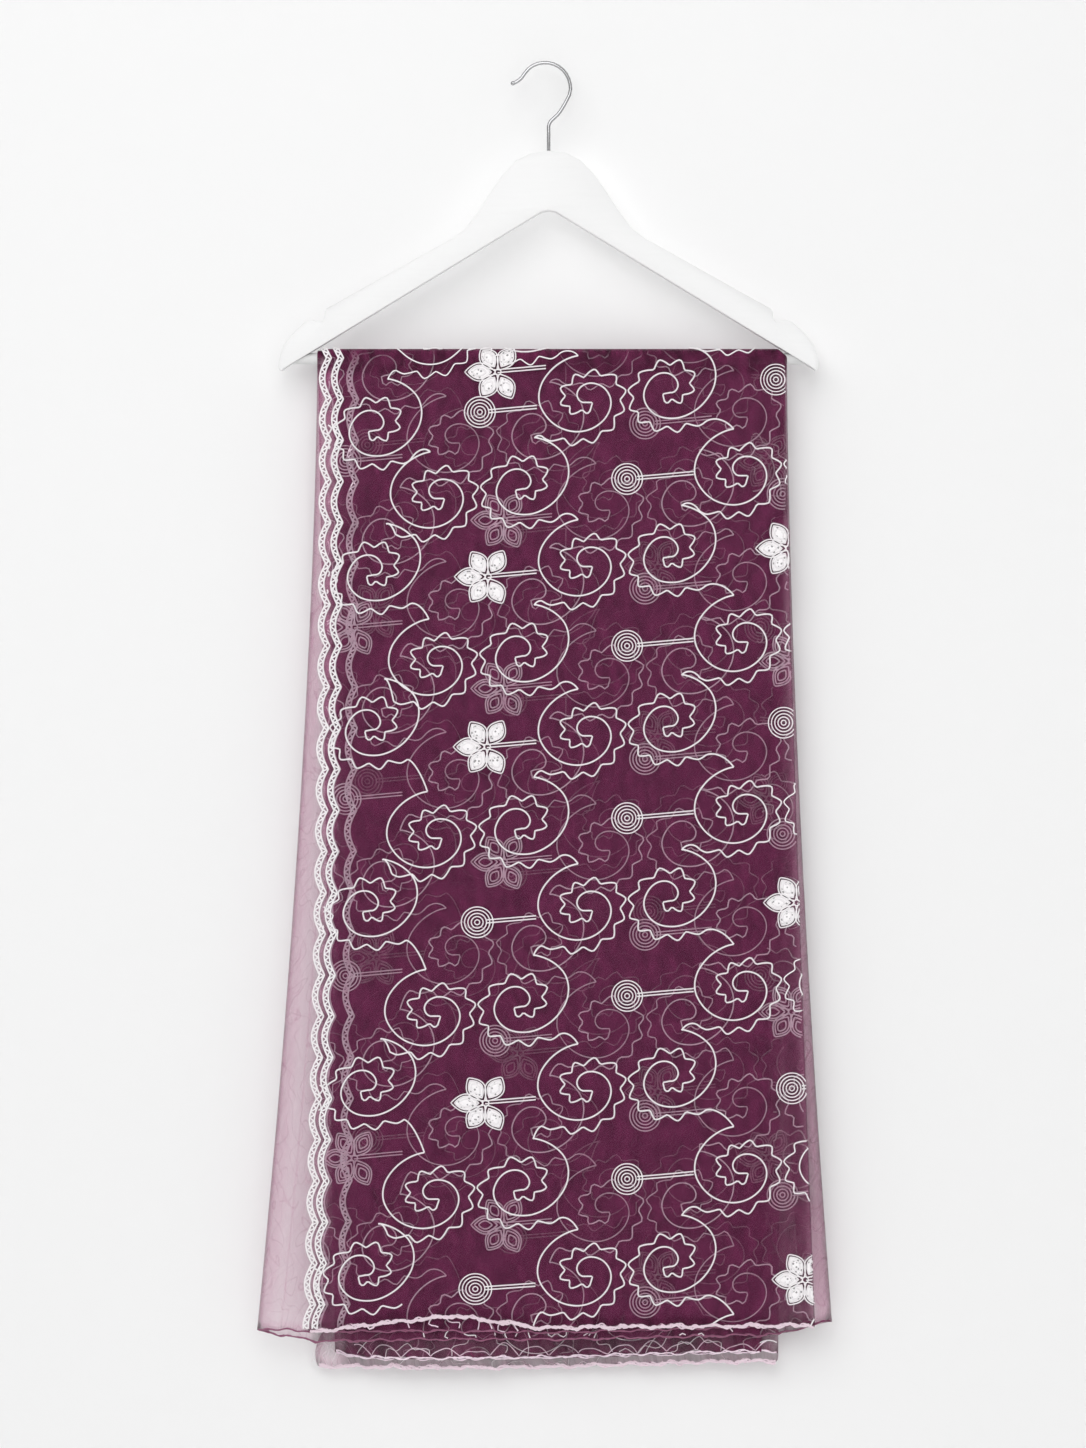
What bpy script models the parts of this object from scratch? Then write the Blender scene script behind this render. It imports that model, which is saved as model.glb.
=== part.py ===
"""Dupatta stole on a hanger: an embroidered net cloth folded in three and hung over the hanger's bar.

Metres, +Z up, the front faces -Y. The origin is the inner top of the hook, where the hanger hangs.
The cloth is split at the crest of the bar, so that no piece bends round the bar.
"""
import math
from dataclasses import dataclass

import bmesh
import bpy
from mathutils import Vector

# Hook of bent wire
WIRE_RADIUS = 0.0015
HOOK_RADIUS = 0.021
HOOK_CENTRE_Z = WIRE_RADIUS - HOOK_RADIUS
HOOK_START_DEGREES = 155.0
HOOK_END_DEGREES = -28.0
HOOK_STEM_BOTTOM = -0.0835
HOOK_BALL_RADIUS = 0.0019

# Wooden hanger, its centre line at HANGER_X
HANGER_X = 0.003
HANGER_THICKNESS = 0.013
HANGER_EDGE_ROUND = 0.0016
WINDOW_APEX_Z = -0.119
WINDOW_SLOPE = 0.6085
ARM_TIP_X = 0.2187
STEM_HOLE_DEPTH = 0.012
FIT_GAP = 0.0003

# Bar
BAR_RADIUS = 0.0046
BAR_Z = -0.244
BAR_HALF_LENGTH = 0.213

# Cloth layers, counted from the bar outwards
WALL = 0.001
LAYER_PITCH_TOP = 0.0014
LAYER_PITCH_HEM = 0.003
FIRST_LAYER_RADIUS = BAR_RADIUS + FIT_GAP + WALL / 2
CREST_GAP = 0.0004
CREST_INSET = 0.0055
FOLD_LIP = 0.014
WAVE_DEPTH = 0.004
WAVE_LENGTH = 0.26
SMALL_WAVE_LENGTH = 0.15
CLOTH_COLUMNS = 14
CLOTH_ROWS = 12
FOLD_SEGMENTS = 4
BEND_DEGREES = (0.0, 30.0, 60.0, 90.0)
BEND_ROWS = len(BEND_DEGREES) - 1

# Scalloped tapes sewn along the long edge
TAPE_WIDTH = 0.0055
SCALLOP_LENGTH = 0.034
SCALLOP_DEPTH = 0.0055
SCALLOP_STEPS = 3
TAPE_START_ROW = 2

# Embroidered medallions and the rolled hem
TRIM_WALL = 0.001
TRIM_LIFT = WALL / 2 + 0.0005 + TRIM_WALL / 2
FLOWER_RADIUS = 0.0205
DISC_RADIUS = 0.0135
HEM_ROLL_RADIUS = 0.0012
HEM_ROLL_GAP = 0.0004

PLUM = (0.11, 0.03, 0.062)
THREAD = (0.80, 0.74, 0.77)
WHITE_PAINT = (0.86, 0.86, 0.86)
CHROME = (0.72, 0.72, 0.73)


@dataclass
class Panel:
    """One hanging layer. An edge is (x at the bar, shift at the hem, power); hem rows are (x, drop)."""
    side: float
    layer: int
    left: tuple
    right: tuple
    hem: tuple


FRONT_FACE = Panel(
    side=-1.0, layer=2,
    left=(-0.1845, -0.0135, 2.0), right=(0.1955, 0.0248, 1.3),
    hem=((-0.198, 0.8055), (-0.077, 0.7925), (-0.007, 0.8015), (0.220, 0.8005)))
FRONT_FOLD = Panel(
    side=-1.0, layer=1,
    left=(-0.1915, -0.0497, 1.6), right=(0.1972, 0.0372, 1.3),
    hem=((-0.241, 0.8040), (-0.193, 0.8135), (0.010, 0.8120), (0.190, 0.8080), (0.234, 0.7965)))
BACK_FACE = Panel(
    side=1.0, layer=2,
    left=(-0.1780, -0.0140, 2.0), right=(0.1955, -0.0050, 1.0),
    hem=((-0.192, 0.8345), (0.000, 0.8360), (0.190, 0.8290)))
BACK_FOLD = Panel(
    side=1.0, layer=1,
    left=(-0.1885, 0.0110, 1.0), right=(0.1920, -0.0150, 1.0),
    hem=((-0.178, 0.8270), (0.000, 0.8255), (0.176, 0.8200)))

# Medallion columns: x, first row's phase, kinds down the column (F flower, D disc)
MEDALLION_COLUMNS = (
    (-0.0567, 0.00, "DFFDFD"),
    (0.0632, 0.41, "DDDDD"),
    (None, -0.14, "DFDFDF"),
)
MEDALLION_FIRST = 0.0447
MEDALLION_PITCH = 0.134
MEDALLION_STRETCH = 0.0022
MEDALLION_REPEAT = 0.142
BACK_FIRST_PHASES = (0.072, 0.159, 0.092)
FOLD_COLUMN_INSET = 0.0235


def clear_scene():
    for obj in list(bpy.data.objects):
        bpy.data.objects.remove(obj, do_unlink=True)


def collection(name):
    made = bpy.data.collections.new(name)
    bpy.context.scene.collection.children.link(made)
    return made


def material(name, colour, roughness, metallic=0.0):
    made = bpy.data.materials.new(name)
    made.use_nodes = True
    shader = made.node_tree.nodes["Principled BSDF"]
    shader.inputs["Base Color"].default_value = (*colour, 1.0)
    shader.inputs["Roughness"].default_value = roughness
    shader.inputs["Metallic"].default_value = metallic
    return made


def add_object(name, data, home, surface=None):
    made = bpy.data.objects.new(name, data)
    home.objects.link(made)
    if surface is not None:
        data.materials.append(surface)
    return made


def mesh_from(bm, name):
    mesh = bpy.data.meshes.new(name)
    bm.to_mesh(mesh)
    bm.free()
    return mesh


def mesh_from_curve(curve_object):
    """The curve as a welded mesh; the curve object is removed."""
    bpy.context.view_layer.update()
    graph = bpy.context.evaluated_depsgraph_get()
    mesh = bpy.data.meshes.new_from_object(curve_object.evaluated_get(graph))
    mesh.transform(curve_object.matrix_world)
    bpy.data.objects.remove(curve_object, do_unlink=True)
    bm = bmesh.new()
    bm.from_mesh(mesh)
    bmesh.ops.remove_doubles(bm, verts=bm.verts, dist=0.00001)
    bmesh.ops.recalc_face_normals(bm, faces=bm.faces)
    bm.to_mesh(mesh)
    bm.free()
    return mesh


def smooth_path(points, steps):
    """Catmull-Rom points through the given points."""
    ends = [points[0] * 2 - points[1], *points, points[-1] * 2 - points[-2]]
    path = []
    for i in range(1, len(ends) - 2):
        before, start, stop, after = ends[i - 1:i + 3]
        for step in range(steps):
            t = step / steps
            path.append(0.5 * (2 * start + (stop - before) * t
                               + (2 * before - 5 * start + 4 * stop - after) * t * t
                               + (3 * start - before - 3 * stop + after) * t ** 3))
    return path + [points[-1]]


def tube(name, points, radius, home, surface, radii=None, resolution=2):
    curve = bpy.data.curves.new(name, "CURVE")
    curve.dimensions = "3D"
    curve.bevel_depth = radius
    curve.bevel_resolution = resolution
    curve.use_fill_caps = True
    spline = curve.splines.new("POLY")
    spline.points.add(len(points) - 1)
    for i, point in enumerate(points):
        spline.points[i].co = (*point, 1.0)
        spline.points[i].radius = radii[i] if radii else 1.0
    return add_object(name, curve, home, surface)


def build_hook(home, surface):
    """Hook of one wire: turned tip, round part, diagonal, stem down into the head."""
    arc = []
    for step in range(16):
        turn = math.radians(HOOK_START_DEGREES + (HOOK_END_DEGREES - HOOK_START_DEGREES) * step / 15)
        arc.append(Vector((HOOK_RADIUS * math.cos(turn), 0.0, HOOK_CENTRE_Z + HOOK_RADIUS * math.sin(turn))))
    tip = Vector((-0.0266, 0.0, -0.0156))
    lead = [tip + Vector((0.0022, 0.0, 0.0007)), Vector((-0.0222, 0.0, -0.0135))]
    drop = [Vector((x, 0.0, z)) for x, z in ((0.0127, -0.0388), (0.0086, -0.0434), (0.0048, -0.0470))]
    stem = [Vector((HANGER_X, 0.0, z)) for z in (-0.0508, -0.0560, HOOK_STEM_BOTTOM)]
    path = smooth_path(lead + arc[::2] + drop + stem, 2)
    outward = (tip - path[0]).normalized()
    ball = []
    for along in (1.0, 0.75, 0.35, -0.1, -0.55):
        share = math.sqrt(max(0.12, 1.0 - along * along))
        ball.append((tip + outward * HOOK_BALL_RADIUS * along, share * HOOK_BALL_RADIUS / WIRE_RADIUS))
    points = [point for point, _ in ball] + path
    radii = [radius for _, radius in ball] + [1.0] * len(path)
    tube("hook", points, WIRE_RADIUS, home, surface, radii)


def hanger_half_outline():
    """Right half of the body's outline from the head's top down to the arm's tip and back to the window."""
    head = ((0.0, -0.0721), (0.0150, -0.0745), (0.0270, -0.0806), (0.0385, -0.0930), (0.0488, -0.1078),
            (0.0592, -0.1240), (0.0690, -0.1370), (0.0794, -0.1446))
    notch = ((0.1840, -0.2032), (0.1852, -0.2058), (0.1855, -0.2110), (0.1882, -0.2139), (0.1918, -0.2136),
             (0.1957, -0.2119))
    end = ((0.2015, -0.2141), (0.2081, -0.2199), (0.2139, -0.2260), (0.2188, -0.2331), (0.2219, -0.2406),
           (0.2235, -0.2475), (0.2237, -0.2520), (0.2212, -0.2541))
    window = ((ARM_TIP_X - 0.0012, window_z(ARM_TIP_X - 0.0012)), (0.0060, window_z(0.0060)))
    return head + notch + end + window


def window_z(x):
    return WINDOW_APEX_Z - WINDOW_SLOPE * abs(x)


def build_hanger_body(home, cutters, surface):
    half = hanger_half_outline()
    apex = (0.0, window_z(0.0060) + 0.0012)
    outline = list(half) + [apex] + [(-x, z) for x, z in reversed(half[1:])]
    curve = bpy.data.curves.new("hanger_outline", "CURVE")
    curve.dimensions = "2D"
    curve.fill_mode = "BOTH"
    curve.extrude = HANGER_THICKNESS / 2
    spline = curve.splines.new("POLY")
    spline.points.add(len(outline) - 1)
    spline.use_cyclic_u = True
    for point, (x, z) in zip(spline.points, outline):
        point.co = (x, z, 0.0, 1.0)
    flat = add_object("hanger_outline", curve, home)
    flat.rotation_euler = (math.radians(90), 0.0, 0.0)
    flat.location = (HANGER_X, 0.0, 0.0)
    body = add_object("hanger_body", mesh_from_curve(flat), home, surface)
    rounding = body.modifiers.new("rounded_edges", "BEVEL")
    rounding.width = HANGER_EDGE_ROUND
    rounding.segments = 2
    rounding.limit_method = "ANGLE"
    rounding.angle_limit = math.radians(70)
    for sign in (-1, 1):
        socket = cylinder_mesh(BAR_RADIUS + FIT_GAP, 0.04, 24)
        cutter = add_object("socket_cutter", socket, cutters)
        cutter.rotation_euler = (0.0, math.radians(90), 0.0)
        cutter.location = (HANGER_X + sign * (BAR_HALF_LENGTH + FIT_GAP - 0.02), 0.0, BAR_Z)
        subtract(body, cutter)
    hole = add_object("stem_cutter", cylinder_mesh(WIRE_RADIUS + FIT_GAP, 0.02, 16), cutters)
    hole.location = (HANGER_X, 0.0, HOOK_STEM_BOTTOM - FIT_GAP + 0.01)
    subtract(body, hole)
    body.data.shade_smooth()
    body.data.set_sharp_from_angle(angle=math.radians(35))


def cylinder_mesh(radius, length, sides):
    bm = bmesh.new()
    bmesh.ops.create_cone(bm, cap_ends=True, segments=sides, radius1=radius, radius2=radius, depth=length)
    return mesh_from(bm, "cylinder")


def subtract(body, cutter):
    cutter.hide_render = True
    cutter.display_type = "WIRE"
    cut = body.modifiers.new("cut", "BOOLEAN")
    cut.operation = "DIFFERENCE"
    cut.object = cutter


def build_bar(home, surface):
    bar = add_object("hanger_bar", cylinder_mesh(BAR_RADIUS, 2 * BAR_HALF_LENGTH, 24), home, surface)
    bar.rotation_euler = (0.0, math.radians(90), 0.0)
    bar.location = (HANGER_X, 0.0, BAR_Z)
    bar.data.shade_smooth()
    bar.data.set_sharp_from_angle(angle=math.radians(35))


def pitch(t):
    """Distance between neighbouring layers, t from 0 at the bar to 1 at the hem."""
    return LAYER_PITCH_TOP + (LAYER_PITCH_HEM - LAYER_PITCH_TOP) * t * t * (3 - 2 * t)


def wave(x, t):
    """Soft hanging folds shared by a whole stack, growing towards the hem."""
    large = math.sin(2 * math.pi * x / WAVE_LENGTH + 0.6)
    small = math.sin(2 * math.pi * x / SMALL_WAVE_LENGTH + 2.1)
    return WAVE_DEPTH * t ** 1.2 * (0.7 * large + 0.3 * small)


def row_place(row):
    """Bend angle over the bar and share of the drop of one row of a panel."""
    if row <= BEND_ROWS:
        return math.radians(BEND_DEGREES[row]), 0.0
    return math.radians(90), (row - BEND_ROWS) / CLOTH_ROWS


def edge_x(edge, t):
    top, shift, power = edge
    return top + shift * t ** power


def fold_x(panel, row):
    """Outermost x of the panel's right edge, drawn in near the crest to clear the arm."""
    bend, t = row_place(row)
    return edge_x(panel.right, t) - CREST_INSET * math.cos(bend) ** 2


def hem_drop(panel, x):
    rows = panel.hem
    if x <= rows[0][0]:
        return rows[0][1]
    for (x0, drop0), (x1, drop1) in zip(rows, rows[1:]):
        if x <= x1:
            return drop0 + (drop1 - drop0) * (x - x0) / (x1 - x0)
    return rows[-1][1]


def hang(panel, x, offset, row):
    """Point at x, offset outwards from the layer next to the bar."""
    bend, t = row_place(row)
    radius = FIRST_LAYER_RADIUS + offset
    depth = CREST_GAP / 2 + radius * math.sin(bend) + wave(x, t)
    height = BAR_Z + radius * math.cos(bend) - t * hem_drop(panel, x)
    return Vector((HANGER_X + x, panel.side * depth, height))


def arc_x(panel, row):
    """Where the flat stretch of a face panel ends and its fold starts."""
    _, t = row_place(row)
    return fold_x(panel, row) - pitch(t) / 2 - WALL / 2


def spread(start, stop, count):
    return [start + (stop - start) * i / count for i in range(count + 1)]


def face_section(panel, row):
    """Face layer from its free edge to the fold, round it, and a lip of the next layer."""
    _, t = row_place(row)
    step = pitch(t)
    turn_x = arc_x(panel, row)
    section = [(x, 2 * step) for x in spread(edge_x(panel.left, t), turn_x, CLOTH_COLUMNS)]
    for i in range(1, FOLD_SEGMENTS + 1):
        turn = math.pi * i / FOLD_SEGMENTS
        section.append((turn_x + step / 2 * math.sin(turn), 1.5 * step + step / 2 * math.cos(turn)))
    section.append((turn_x - FOLD_LIP, step))
    return section


def fold_section(panel, face, row):
    """Middle layer from the face's lip to the left fold, round it, and the layer next to the bar."""
    _, t = row_place(row)
    step = pitch(t)
    turn_x = edge_x(panel.left, t) + step / 2 + WALL / 2
    start_x = arc_x(face, row) - FOLD_LIP - FIT_GAP
    section = [(x, step) for x in spread(start_x, turn_x, CLOTH_COLUMNS)]
    for i in range(1, FOLD_SEGMENTS):
        turn = math.pi * i / FOLD_SEGMENTS
        section.append((turn_x - step / 2 * math.sin(turn), step / 2 + step / 2 * math.cos(turn)))
    section += [(x, 0.0) for x in spread(turn_x, fold_x(panel, row), CLOTH_COLUMNS)]
    return section


def grid_object(name, columns, rows, place, wall, home, surface):
    """A grid moved point by point by place(column, row), with a wall of the given thickness."""
    bm = bmesh.new()
    bmesh.ops.create_grid(bm, x_segments=columns, y_segments=rows, size=1.0)
    for vert in bm.verts:
        column = round((vert.co.x + 1) / 2 * columns)
        row = round((1 - vert.co.y) / 2 * rows)
        vert.co = place(column, row)
    sheet = add_object(name, mesh_from(bm, name), home, surface)
    thicken(sheet, wall)
    return sheet


def thicken(sheet, wall):
    shell = sheet.modifiers.new("wall", "SOLIDIFY")
    shell.thickness = wall
    shell.offset = 0.0
    shell.use_even_offset = True
    sheet.data.shade_smooth()


def build_layer(name, panel, sections, home, surface):
    rows = [sections(row) for row in range(BEND_ROWS + CLOTH_ROWS + 1)]

    def place(column, row):
        x, offset = rows[row][column]
        return hang(panel, x, offset, row)

    grid_object(name, len(rows[0]) - 1, len(rows) - 1, place, WALL, home, surface)


def on_face(panel, x, t, lift):
    """Point on the facets of a face panel's flat stretch, moved out by lift."""
    row = BEND_ROWS + min(max(t, 0.0), 1.0) * CLOTH_ROWS
    first = min(int(row), BEND_ROWS + CLOTH_ROWS - 1)
    share = row - first
    edge = [edge_x(panel.left, row_place(first + i)[1]) for i in (0, 1)]
    turn = [arc_x(panel, first + i) for i in (0, 1)]
    left = edge[0] + (edge[1] - edge[0]) * share
    right = turn[0] + (turn[1] - turn[0]) * share
    column = (x - left) / (right - left) * CLOTH_COLUMNS
    cell = min(max(int(column), 0), CLOTH_COLUMNS - 1)
    along = column - cell
    corners = []
    for i in (0, 1):
        node_step = 2 * pitch(row_place(first + i)[1]) + lift
        nodes = []
        for side in (0, 1):
            node_x = edge[i] + (turn[i] - edge[i]) * (cell + side) / CLOTH_COLUMNS
            nodes.append(hang(panel, node_x, node_step, first + i))
        corners.append(nodes[0].lerp(nodes[1], along))
    return corners[0].lerp(corners[1], share)


def build_tape(name, panel, inset, narrowing, home, surface):
    """Scalloped tape down the free edge; its arcs bulge outwards and its cusps point to the cloth."""
    drop = panel.hem[0][1]
    scallops = int(drop / SCALLOP_LENGTH)
    rows = scallops * SCALLOP_STEPS

    def place(column, row):
        side = (column - 0.5) * TAPE_WIDTH
        if row == 0:
            x = panel.left[0] + inset + side
            return hang(panel, x, 2 * pitch(0.0) + TRIM_LIFT, TAPE_START_ROW)
        t = (row - 1) / (rows - 1)
        bulge = abs(math.sin(math.pi * (row - 1) / SCALLOP_STEPS))
        x = edge_x(panel.left, t) + inset - narrowing * t * t + SCALLOP_DEPTH * (0.5 - bulge) + side
        return on_face(panel, x, t * 0.998, TRIM_LIFT)

    grid_object(name, 1, rows, place, TRIM_WALL, home, surface)


def flower_outline(count=18):
    """Six-petal outline."""
    for i in range(count):
        turn = 2 * math.pi * i / count
        reach = FLOWER_RADIUS * (0.8 + 0.2 * math.cos(6 * turn))
        yield reach * math.sin(turn), reach * math.cos(turn)


def disc_outline(count=12):
    for i in range(count):
        turn = 2 * math.pi * i / count
        yield DISC_RADIUS * math.sin(turn), DISC_RADIUS * math.cos(turn)


def build_medallion(name, kind, panel, x, drop, home, surface):
    """Thin plate from a flat fan of faces, laid on the panel's facets."""
    outline = list(flower_outline() if kind == "F" else disc_outline())
    bm = bmesh.new()
    rim = [bm.verts.new((across, 0.0, up)) for across, up in outline]
    centre = bm.verts.new((0.0, 0.0, 0.0))
    for first, second in zip(rim, rim[1:] + rim[:1]):
        bm.faces.new((first, second, centre))
    for vert in bm.verts:
        at = x + vert.co.x
        vert.co = on_face(panel, at, (drop - vert.co.z) / hem_drop(panel, at), TRIM_LIFT)
    plate = add_object(name, mesh_from(bm, name), home, surface)
    thicken(plate, TRIM_WALL)


def front_drop(phase):
    return MEDALLION_FIRST + MEDALLION_PITCH * phase + MEDALLION_STRETCH * phase * phase


def build_medallions(home, surface):
    for place, panel in (("front", FRONT_FACE), ("back", BACK_FACE)):
        for column, (x, phase, kinds) in enumerate(MEDALLION_COLUMNS):
            for i, kind in enumerate(kinds):
                if place == "front":
                    drop = front_drop(phase + i)
                else:
                    drop = BACK_FIRST_PHASES[column] + MEDALLION_REPEAT * i
                reach = FLOWER_RADIUS if kind == "F" else DISC_RADIUS
                if drop < reach or drop + reach > 0.785 + (0.03 if place == "back" else 0.0):
                    continue
                at = x
                if at is None:
                    at = edge_x(panel.right, drop / 0.8) - FOLD_COLUMN_INSET
                word = "flower" if kind == "F" else "disc"
                build_medallion(f"{place}_{word}_{column + 1}{i + 1}", kind, panel, at, drop, home, surface)


def build_hem_roll(name, panel, home, surface):
    """Rolled edge just under the hem of a face panel."""
    last = BEND_ROWS + CLOTH_ROWS
    step = pitch(1.0)
    points = []
    for x in spread(edge_x(panel.left, 1.0) + 0.001, arc_x(panel, last) - 0.001, 2 * CLOTH_COLUMNS):
        point = on_face(panel, x, 1.0, 0.0)
        points.append(point - Vector((0.0, 0.0, HEM_ROLL_GAP + HEM_ROLL_RADIUS)))
    tube(name, points, HEM_ROLL_RADIUS, home, surface)


def main():
    clear_scene()
    home = collection("dupatta_stole_on_hanger")
    cutters = collection("cutters")
    net = material("plum_net", PLUM, 0.75)
    thread = material("pale_thread", THREAD, 0.6)
    paint = material("white_paint", WHITE_PAINT, 0.4)
    chrome = material("chrome_wire", CHROME, 0.18, 1.0)

    build_hook(home, chrome)
    build_hanger_body(home, cutters, paint)
    build_bar(home, paint)
    for name, face, fold in (("front", FRONT_FACE, FRONT_FOLD), ("back", BACK_FACE, BACK_FOLD)):
        build_layer(f"{name}_face", face, lambda row: face_section(face, row), home, net)
        build_layer(f"{name}_fold", fold, lambda row: fold_section(fold, face, row), home, net)
        build_tape(f"{name}_tape_outer", face, 0.0, 0.0, home, thread)
        build_tape(f"{name}_tape_inner", face, 0.0100, 0.0026, home, thread)
        build_hem_roll(f"{name}_hem_roll", face, home, thread)
    build_medallions(home, thread)


main()
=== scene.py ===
"""An embroidered net dupatta stole, folded lengthwise and hung over the bar of a white hanger."""

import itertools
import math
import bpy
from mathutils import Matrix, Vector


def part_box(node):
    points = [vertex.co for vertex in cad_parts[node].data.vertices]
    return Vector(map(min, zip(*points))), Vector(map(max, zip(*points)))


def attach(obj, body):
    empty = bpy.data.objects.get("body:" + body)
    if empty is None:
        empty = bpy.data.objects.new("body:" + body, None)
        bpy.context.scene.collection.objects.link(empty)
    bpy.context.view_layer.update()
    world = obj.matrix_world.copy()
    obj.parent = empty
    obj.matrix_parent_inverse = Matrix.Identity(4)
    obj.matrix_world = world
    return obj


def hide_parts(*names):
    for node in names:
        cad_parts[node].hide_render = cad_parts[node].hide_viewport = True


bl_info = {
    "name": "Dupatta Stole on Hanger",
    "version": (1, 0, 0),
    "blender": (4, 5, 0),
    "location": "View3D > Sidebar > Stole",
    "description": "Builds a sheer embroidered stole, its hanger and a plain wall to hang against",
    "category": "Object",
}

import bmesh
import bpy
import numpy as np
from mathutils import Vector

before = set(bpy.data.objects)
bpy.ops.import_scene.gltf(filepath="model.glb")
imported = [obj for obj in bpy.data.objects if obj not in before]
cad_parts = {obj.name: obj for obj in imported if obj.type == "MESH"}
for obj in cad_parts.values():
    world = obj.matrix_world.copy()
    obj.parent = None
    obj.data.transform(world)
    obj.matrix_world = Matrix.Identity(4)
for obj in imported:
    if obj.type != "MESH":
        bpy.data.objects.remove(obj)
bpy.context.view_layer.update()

# Hanger and bar, as in the frame
HANGER_X = 0.003
BAR_LOW, BAR_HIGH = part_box("hanger_bar")
BAR_Z = (BAR_LOW[2] + BAR_HIGH[2]) / 2
BAR_RADIUS = (BAR_HIGH[2] - BAR_LOW[2]) / 2

# Cloth layers are counted from the bar outwards: 0 next to it, 2 on the outside
WALL = 0.001
FIRST_RADIUS = BAR_RADIUS + 0.0003 + WALL / 2
PITCH_TOP = 0.0014
PITCH_HEM = 0.003
CREST_INSET = 0.0055
WAVE_DEPTH = 0.004
WAVE_LENGTH = 0.26
SMALL_WAVE_LENGTH = 0.15
FRONT, BACK = -1.0, 1.0
SIDES = (("front", FRONT), ("back", BACK))
# Turned edge at the right of the innermost layer, and the strip at the inner fold with an old fold line
LIP_WIDTH = 0.024
OLD_FOLD_STRIP = 0.024
FOLD_TURN_TOP, FOLD_TURN_GROWTH = 0.0009, 0.0006

# Lengths along the cloth below the bar in front and behind, and half of its turn over the bar
FRONT_LENGTH = 0.81
BACK_LENGTH = 0.84
HALF_TURN = 0.013
# Drop at which the face's edges count as at the hem, for the pattern sewn on it
PATTERN_LENGTH = 0.8

# Edge of the cloth: x at the bar, shift at the hem in front and behind, power in front and behind
FACE_LEFT = (-0.1845, -0.0135, -0.0185, 2.0, 2.5)
FACE_FOLD = (0.1955, 0.0248, -0.0050, 1.3, 1.0)
INNER_FOLD = (-0.1915, -0.0497, 0.0140, 1.6, 1.0)
INNER_RIGHT = (0.1972, 0.0372, -0.0207, 1.6, 1.0)
BACK_DRAWN_IN = 0.0110

# Hem height of the face layer and of the two inner layers: (x, drop below the bar)
HEMS = {
    (FRONT, 2): ((-0.198, 0.8055), (-0.140, 0.7985), (-0.077, 0.7925), (-0.007, 0.8015), (0.220, 0.8005)),
    (FRONT, 0): ((-0.241, 0.8045), (-0.193, 0.8135), (0.010, 0.8120), (0.190, 0.8085), (0.234, 0.7965)),
    (FRONT, 1): ((-0.241, 0.8030), (-0.193, 0.8050), (0.010, 0.8060), (0.190, 0.8010), (0.234, 0.7965)),
    (BACK, 2): ((-0.192, 0.8370), (0.000, 0.8375), (0.190, 0.8315)),
    (BACK, 0): ((-0.178, 0.8240), (-0.150, 0.8290), (0.000, 0.8285), (0.176, 0.8230)),
    (BACK, 1): ((-0.178, 0.8250), (-0.150, 0.8300), (0.000, 0.8295), (0.176, 0.8240)),
}

# Main creases: x, drop where it starts, length, depth, width
FRONT_CREASES = (
    (-0.168, -0.01, 0.300, 0.0018, 0.0075),
    (-0.121, -0.01, 0.170, -0.0010, 0.0060),
    (-0.083, -0.01, 0.230, 0.0013, 0.0085),
    (-0.022, -0.01, 0.140, 0.0009, 0.0060),
    (0.031, -0.01, 0.260, -0.0012, 0.0090),
    (0.088, -0.01, 0.190, 0.0012, 0.0070),
    (0.141, -0.01, 0.330, 0.0016, 0.0090),
    (-0.110, 0.420, 0.390, 0.0022, 0.0160),
    (0.018, 0.510, 0.300, -0.0018, 0.0140),
    (0.118, 0.380, 0.430, 0.0022, 0.0180),
    (-0.205, 0.450, 0.360, -0.0024, 0.0120),
)
BACK_CREASES = (
    (-0.150, -0.01, 0.260, 0.0016, 0.0080),
    (-0.098, -0.01, 0.200, -0.0011, 0.0060),
    (-0.031, -0.01, 0.290, 0.0014, 0.0090),
    (0.044, -0.01, 0.170, 0.0010, 0.0060),
    (0.103, -0.01, 0.310, -0.0014, 0.0090),
    (0.160, -0.01, 0.210, 0.0014, 0.0070),
    (-0.088, 0.460, 0.370, 0.0022, 0.0160),
    (0.062, 0.400, 0.420, -0.0020, 0.0170),
)

# Embroidery lattice: x of each column's axis, phase down the cloth, medallions (F flower, D disc, - none)
ROW_FIRST = 0.0447
ROW_PITCH = 0.134
ROW_STRETCH = 0.0022
BACK_ROW_PITCH = 0.142
LATTICE = {
    (FRONT, 2): ((-0.1779, -0.5, "-------"), (-0.0567, 0.0, "DFFDFD"), (0.0648, -0.59, "-DDDDDD"),
                 (0.1935, -0.14, "DFDFDF")),
    (FRONT, 1): ((0.0797, 0.07, "DDDDDD"), (-0.0443, -0.34, "-FFFDF"), (-0.1680, 0.30, "DFDDF"),
                 (0.1935, -0.5, "-DFDFD")),
    (FRONT, 0): ((0.0830, -0.06, "-FFDFF"), (-0.0310, -0.27, "-DDDFD-"), (-0.1500, 0.2, "DFDFD"),
                 (0.1750, 0.3, "FDFDF")),
    (BACK, 2): ((-0.1824, 0.0, "------"), (-0.0567, 0.19, "DFFDFD"), (0.0648, -0.19, "-DDDDDD"),
                (0.1915, 0.33, "DFDFD")),
    (BACK, 1): ((0.0797, 0.6, "FDFDF"), (-0.0443, 0.26, "DFDFD"), (-0.1500, 0.0, "FDDFD")),
    (BACK, 0): ((-0.0900, 0.10, "DFDDF"), (0.0310, -0.2, "-FDFDF"), (0.1520, 0.06, "-----")),
}
SCROLL_PHASE = 0.455

# How far the front face's columns drift to the left at the hem: in full left of the second number,
# and less and less over the width to its right that the third one gives
DRIFT_AT_HEM = 0.010
DRIFT_LEFT, DRIFT_WIDTH = -0.18, 0.22

# The medallions right of this x run beside the fold: a shift of phase, a longer row, x at the top and slope
FOLD_COLUMN_LIMIT = 0.15
FOLD_COLUMN_PHASE, FOLD_COLUMN_ROW = -0.06, 1.03
FOLD_COLUMN_TOP, FOLD_COLUMN_SLOPE = -0.006, 0.018

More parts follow.
